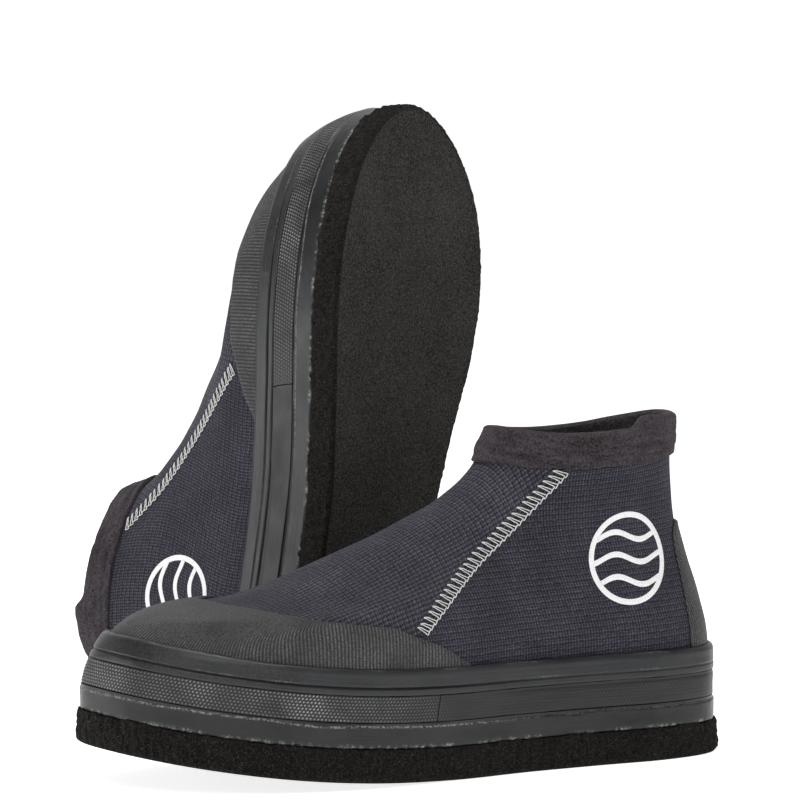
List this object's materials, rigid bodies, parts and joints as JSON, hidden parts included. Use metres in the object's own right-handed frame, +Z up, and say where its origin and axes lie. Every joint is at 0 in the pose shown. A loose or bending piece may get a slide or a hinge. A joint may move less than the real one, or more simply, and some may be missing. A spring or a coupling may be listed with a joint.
{
  "type": "pair of neoprene water boots",
  "caption": "Pair of low pull-on neoprene water boots with rubber foxing, toe and heel caps and thick felt soles; one stands flat, one stands on its heel.",
  "frame": {"origin": "middle of the pair's footprint on the floor", "axes": "+Z up; the left boot's toe points along -X and its outer side faces -Y; the right boot stands on its heel behind it"},
  "size_m": [0.304, 0.2746, 0.2997],
  "materials": {
    "felt": "dense fuzzy wool felt, near black",
    "band_rubber": "semi-gloss moulded rubber band, textured strips",
    "cap_rubber": "matt ribbed rubber skin",
    "neoprene": "charcoal knit-faced neoprene",
    "binding": "soft elastic knit tape",
    "thread": "white stretch seam thread",
    "print": "white transfer print",
    "insole_foam": "knit-covered foam",
    "insole_board": "pressed fibre board"
  },
  "bodies": {
    "left_boot": {"left_felt_outsole": "felt", "left_rubber_midsole": "band_rubber", "left_toe_bumper": "band_rubber", "left_side_foxing": "band_rubber", "left_upper_foxing": "band_rubber", "left_toe_cap": "cap_rubber", "left_heel_cap": "cap_rubber", "left_vamp": "neoprene", "left_outer_quarter": "neoprene", "left_inner_quarter": "neoprene", "left_cuff_binding": "binding", "left_insole": "insole_foam", "left_insole_board": "insole_board", "left_outer_seam_thread": "thread", "left_inner_seam_thread": "thread", "left_back_seam_tape": "binding", "left_outer_mark": "print"},
    "right_boot": {"right_felt_outsole": "felt", "right_rubber_midsole": "band_rubber", "right_toe_bumper": "band_rubber", "right_side_foxing": "band_rubber", "right_upper_foxing": "band_rubber", "right_toe_cap": "cap_rubber", "right_heel_cap": "cap_rubber", "right_vamp": "neoprene", "right_outer_quarter": "neoprene", "right_inner_quarter": "neoprene", "right_cuff_binding": "binding", "right_insole": "insole_foam", "right_insole_board": "insole_board", "right_outer_seam_thread": "thread", "right_inner_seam_thread": "thread", "right_back_seam_tape": "binding", "right_outer_mark": "print"}
  },
  "joints": [
    {"name": "right_boot_lift", "type": "slide", "parent": "left_boot", "child": "right_boot", "axis": [0, 0, 1], "range_m": [0, 0.2]}
  ]
}
